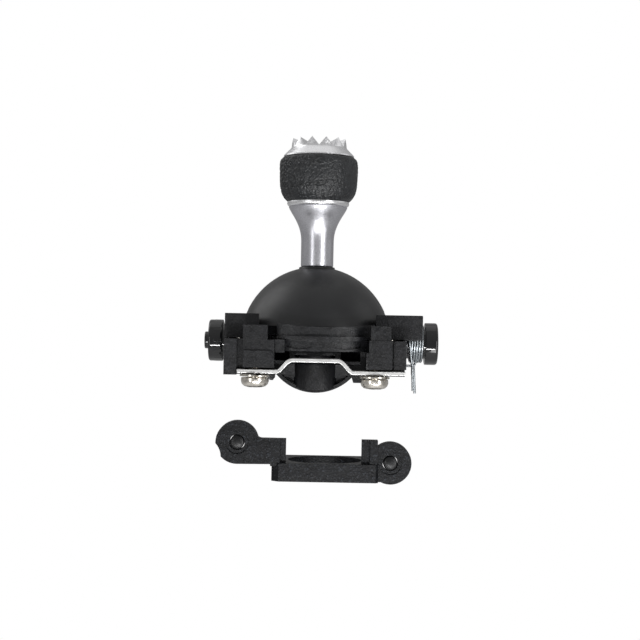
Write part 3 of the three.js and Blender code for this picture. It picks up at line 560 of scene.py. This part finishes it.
def make_crown(finish):
    """A dished cap whose top is the lower of its own height and six V grooves cut straight across it."""
    base, tip = high("grip_sleeve", Z) + 0.04, high("crown_cap", Z)
    grooves, around = 6, 24 * 6
    valley = tip - 1.36
    slope = (tip - valley) / (4.3 * math.sin(math.pi / grooves / 2))
    skirt = [(5.5, base), (5.62, base + 0.1), (5.6, base + 0.28), (5.3, base + 0.6), (4.95, base + 0.95)]
    skirt += [(4.64, base + 1.26), (4.46, base + 1.48), (4.4, base + 1.6)]
    wall = [(4.4 - 0.02 * k, valley + 0.1 + (tip - valley - 0.1) * k / 6) for k in range(1, 7)]
    dish = [(4.2, tip), (3.9, tip - 0.06), (3.5, tip - 0.2), (3.1, tip - 0.36), (2.7, tip - 0.52)]
    dish += [(2.3, tip - 0.66), (1.9, tip - 0.78), (1.5, tip - 0.86), (1.5, base + 0.7)]
    bm = bmesh.new()
    rings = []
    for r, z in skirt + wall + dish:
        ring = []
        for k in range(around):
            a = 2 * math.pi * k / around
            across = min(abs(math.sin(a - math.pi * g / grooves)) for g in range(grooves)) * r
            height = min(z, valley + slope * across) if z > valley else z
            ring.append(bm.verts.new((r * math.cos(a), r * math.sin(a), height)))
        rings.append(ring)
    skinned(bm, rings)
    bmesh.ops.remove_doubles(bm, verts=bm.verts, dist=0.002)
    bmesh.ops.dissolve_degenerate(bm, edges=bm.edges, dist=0.002)
    settle(object_from("crown_cut", bm, finish, 24), "crown", "crown_cap")


# ---------------------------------------------------------------- shaft ends and springs


def turned_object(name, outline, finish, move, edge=0.0, segments=72):
    """A body turned about the axis that move gives, from an outline of (radius, place along the axis)."""
    return object_from(name, turned(rounded(outline, edge, 6), segments, move), finish, 30)


def disc(start, end, r):
    return [(0, start), (r, start), (r, end), (0, end)]


def make_end_cap(finish):
    """A polished cap on the shaft, with a spigot that the spring is slipped over."""
    inner, end, radius = low("right_end_cap", X), high("right_end_cap", X), high("right_end_cap", Y)
    face = end - 2.0
    outline = [(0, inner), (SPIGOT_R, inner), (SPIGOT_R, face, 0)]
    outline += [(radius, face, 0.1), (radius, end, 0.45), (0, end)]
    cap = turned_object("end_cap_turned", outline, finish, ALONG_X, 0.1, 96)
    cut(cap, turned_object("bore", disc(inner - 1, face + 1.3, SHAFT_BORE_R), finish, ALONG_X))
    cap.data.set_sharp_from_angle(angle=math.radians(35))
    settle(cap, "cradle", "right_end_cap")


def make_sensor(name, node, start, turn, finish, spigot_from=None):
    """A faceted cup on the shaft's end. It is built up as a collar, a rim, a plain back and a short stub."""
    radius, collar_r, stub_r, hollow_r = 3.34, 2.7, 1.35, 2.2
    move = turn @ ALONG_X
    body = turned_object(name, disc(start, start + 0.9, collar_r), finish, move, 0.1)
    rim = turned_object("rim", disc(start + 0.72, start + 2.2, radius), finish, move, 0.2, 12)
    cut(body, softened(rim, 0.2, 3, 20), "UNION")
    back = turned_object("back", disc(start + 0.75, start + 3.0, radius - 0.05), finish, move, 0.4)
    cut(body, back, "UNION")
    cut(body, turned_object("stub", disc(start + 2.5, start + 3.7, stub_r), finish, move, 0.2), "UNION")
    cut(body, turned_object("hollow", disc(start - 1, start + 2.2, hollow_r), finish, move))
    if spigot_from is not None:
        spigot = turned_object("spigot", disc(spigot_from, start + 0.1, SPIGOT_R), finish, move, 0.1)
        cut(spigot, turned_object("bore", disc(spigot_from - 1, start + 1, SHAFT_BORE_R), finish, move))
        cut(body, spigot, "UNION")
    body.data.set_sharp_from_angle(angle=math.radians(30))
    settle(body, "frame", node)


def make_spring(name, node, turn, finish):
    """Wound wire with both legs hanging, one on each side of the centring finger."""
    coil_r, wire_r, turns = 2.85, 0.21, 6
    first, last = 14.85, 17.1
    legs = (Vector((15.5, -coil_r, -7.4)), Vector((16.2, coil_r, -8.1)))
    path = [legs[0], Vector((15.35, -coil_r, -3.6)), Vector((first + 0.15, -coil_r, -1.6))]
    steps = 36
    total = round((turns - 0.5) * steps)
    for k in range(total + 1):
        angle = math.pi - 2 * math.pi * k / steps
        x = first + (last - first) * k / total
        path.append(Vector((x, coil_r * math.cos(angle), coil_r * math.sin(angle))))
    path += [Vector((last - 0.15, coil_r, -1.6)), Vector((15.95, coil_r, -3.7)), legs[1]]
    bm = bmesh.new()
    sides = 12
    rings = []
    up = Vector((1, 0, 0))
    for k, point in enumerate(path):
        along = (path[min(k + 1, len(path) - 1)] - path[max(k - 1, 0)]).normalized()
        across = along.cross(up).normalized()
        outward = across.cross(along).normalized()
        ring = []
        for s in range(sides):
            a = 2 * math.pi * s / sides
            offset = across * math.cos(a) * wire_r + outward * math.sin(a) * wire_r
            ring.append(bm.verts.new(turn @ (point + offset)))
        rings.append(ring)
    skinned(bm, rings)
    settle(object_from(name, bm, finish, 50), "frame", node)


def make_ear_pin(name, node, finish):
    """A plain pin with a domed end, which shows in the bracket's eye."""
    radius = (high(node, X) - low(node, X)) / 2
    x, z = (high(node, X) + low(node, X)) / 2, (high(node, Z) + low(node, Z)) / 2
    front, back = low(node, Y), high(node, Y)
    rise = 0.35
    bends = [math.pi / 2 * k / 10 for k in range(11)]
    crown = [(radius * math.sin(t), front + rise * (1 - math.cos(t))) for t in bends]
    profile = [*crown, (radius, back - 0.1), (radius - 0.1, back), (0, back)]
    move = Matrix.Translation((x, 0, z)) @ Matrix.Rotation(-math.pi / 2, 4, "X")
    pin = object_from(name, turned(profile, 48, move), finish, 40)
    settle(pin, "loose_bracket", node)


# ---------------------------------------------------------------- strip and its fasteners


def make_strip(finish):
    """Flat spring stock with rounded bends and slightly rolled edges."""
    left, right = low("tension_strip", X), high("tension_strip", X)
    front, back = low("tension_strip", Y), high("tension_strip", Y)
    thick = 0.6
    low_z, high_z = low("tension_strip", Z), high("tension_strip", Z) - thick
    low_bend_x, high_bend_x = 5.35, 3.75
    line = [(left, low_z), (-low_bend_x, low_z), (-high_bend_x, high_z)]
    line += [(high_bend_x, high_z), (low_bend_x, low_z), (right, low_z)]
    under = rounded(line, 0.5, 6)
    over = []
    for k, point in enumerate(under):
        before, after = under[max(k - 1, 0)], under[min(k + 1, len(under) - 1)]
        along = (after - before).normalized()
        over.append(point + Vector((-along.y, along.x)) * thick)
    outline = [*under, *reversed(over)]
    strip = object_from("strip_bent", pushed(outline, -back, -front, ALONG_Y), finish, 30)
    for side in (-1, 1):
        place = Matrix.Translation((side * STRIP_SCREW_X, STRIP_SCREW_Y, 0))
        cut(strip, turned_object("hole", disc(-8, 0, 1.1), finish, place, 0, 32))
    softened(strip, 0.1, 3, 40)
    settle(strip, "frame", "tension_strip")


def cross_cutter(half, wide, bottom, top, place, finish):
    """A cross-shaped prism: half is an arm's reach and wide is half its width."""
    cross = [(half, wide), (wide, wide), (wide, half), (-wide, half), (-wide, wide), (-half, wide)]
    cross += [(-a, -b) for a, b in cross]
    return object_from("cross", pushed(cross, bottom, top, place), finish)


def make_strip_screw(side, sign, finish):
    """A pan-head screw pointing up, its cross recess facing down."""
    node = f"{side}_strip_screw"
    seat = Matrix.Translation((sign * STRIP_SCREW_X, STRIP_SCREW_Y, STRIP_SCREW_Z))
    place = seat @ Matrix.Rotation(sign * 0.4, 4, "Z")
    shank_r, thread_start, thread_end, pitch = 0.78, 0.3, 4.0, 0.4
    profile = [(0, -1.5), (1.0, -1.46), (1.6, -1.3), (1.95, -0.98), (2.1, -0.55), (2.08, -0.08)]
    profile += [(1.98, 0), (shank_r, 0), (shank_r, thread_start)]
    z = thread_start
    while z < thread_end:
        profile += [(0.8, z + pitch * 0.2), (0.66, z + pitch * 0.6), (shank_r, z + pitch)]
        z += pitch
    profile += [(0, thread_end + 0.5)]
    screw = object_from(f"{side}_screw_cut", turned(profile, 64, place), finish, 40)
    cut(screw, cross_cutter(1.15, 0.24, -1.7, -0.75, place, finish))
    screw.data.set_sharp_from_angle(angle=math.radians(35))
    settle(screw, "frame", node)


def make_strip_washer(side, sign, finish):
    """A split spring washer: the two ends stand a little apart."""
    node = f"{side}_strip_washer"
    seat = Matrix.Translation((sign * STRIP_SCREW_X, STRIP_SCREW_Y, low(node, Z)))
    place = seat @ Matrix.Rotation(-1.1 + sign * 0.35, 4, "Z")
    section = [(1.08, 0.05), (1.14, 0.0), (2.22, 0.0), (2.3, 0.06)]
    section += [(2.3, 0.26), (2.22, 0.32), (1.14, 0.32), (1.08, 0.27)]
    bm = bmesh.new()
    steps = 64
    gap = math.radians(9)
    rings = []
    for k in range(steps + 1):
        a = gap / 2 + (2 * math.pi - gap) * k / steps
        rise = 0.1 * (k / steps - 0.5) + 0.05
        spots = [Vector((r * math.cos(a), r * math.sin(a), h + rise)) for r, h in section]
        rings.append([bm.verts.new(place @ spot) for spot in spots])
    skinned(bm, rings)
    settle(object_from(f"{side}_washer_split", bm, finish, 40), "frame", node)


# ---------------------------------------------------------------- CAD nodes that keep their shape


def smooth_shading_group():
    """A modifier group that shades every face smooth, so that softened edges read as curved."""
    group = bpy.data.node_groups.new("shade_smooth", "GeometryNodeTree")
    group.interface.new_socket("Geometry", in_out="INPUT", socket_type="NodeSocketGeometry")
    group.interface.new_socket("Geometry", in_out="OUTPUT", socket_type="NodeSocketGeometry")
    start, end = group.nodes.new("NodeGroupInput"), group.nodes.new("NodeGroupOutput")
    shade = group.nodes.new("GeometryNodeSetShadeSmooth")
    group.links.new(start.outputs[0], shade.inputs["Geometry"])
    group.links.new(shade.outputs[0], end.inputs[0])
    return group


# How far a node's edges are softened, in millimetres. Nodes that aren't named here take PLAIN_EDGE.
PLAIN_EDGE = 0.05
EDGE = {
    "gimbal_frame": 0.16,
    "front_lip": 0.14,
    "left_bearing_block": 0.14,
    "right_bearing_block": 0.14,
    "rear_bearing_block": 0.14,
    "bracket": 0.14,
    "stick_hub": 0.1,
    "arch_yoke": 0.12,
    "cradle_ring": 0.12,
}


def dress_cad_nodes(finishes):
    """Gives every CAD node its finish, softened edges and even shading."""
    slots = {row["node"]: row["material_slot"] for row in frame["record"]["subparts"]}
    smooth = smooth_shading_group()
    for name, node in frame["nodes"].items():
        node.data.materials.clear()
        # The bracket takes the moulding copy whose darker colour and weaker reflection are painted shade.
        node.data.materials.append(finishes["speckled_shaded_moulding" if name == "bracket" else slots[name]])
        weld = node.modifiers.new("weld", "WELD")
        weld.merge_threshold = 0.002 * MM
        flat = node.modifiers.new("flat_faces", "DECIMATE")
        flat.decimate_type = "DISSOLVE"
        flat.angle_limit = math.radians(0.5)
        shade = node.modifiers.new("smooth", "NODES")
        shade.node_group = smooth
        softened(node, EDGE.get(name, PLAIN_EDGE) * MM, 3 if name in EDGE else 2, 28)
        node.modifiers.new("even_normals", "WEIGHTED_NORMAL").keep_sharp = True


def main():
    make_camera()
    make_world()
    make_lights()
    make_floor()
    bpy.context.scene.view_settings.view_transform = "Standard"
    finishes = make_finishes()
    dress_cad_nodes(finishes)
    make_dome(finishes["dome_black"])
    make_neck(finishes["satin_aluminium"])
    # The core takes the lighter aluminium copy, whose extra brightness is its ring's painted highlight.
    make_core(finishes["bright_aluminium"])
    make_grip(finishes["grip_leather"])
    make_crown(finishes["bright_aluminium"])
    make_end_cap(finishes["gloss_black"])
    gloss = finishes["gloss_black"]
    make_sensor("left_sensor_cup", "left_sensor_housing", LEFT_SENSOR_START, TO_LEFT, gloss)
    make_sensor(
        "rear_sensor_cup", "rear_sensor_housing", REAR_SENSOR_START, TO_REAR, gloss, REAR_SPIGOT_START
    )
    make_ear_pin("left_ear_pin_domed", "left_ear_pin", finishes["pin_black"])
    make_ear_pin("right_ear_pin_domed", "right_ear_pin", finishes["pin_black"])
    make_spring("right_spring_wound", "right_torsion_spring", Matrix.Identity(4), finishes["spring_steel"])
    make_spring("rear_spring_wound", "rear_torsion_spring", TO_REAR, finishes["spring_steel"])
    make_strip(finishes["plated_strip"])
    for side, sign in (("left", -1), ("right", 1)):
        make_strip_screw(side, sign, finishes["warm_nickel"])
        make_strip_washer(side, sign, finishes["warm_nickel"])


main()
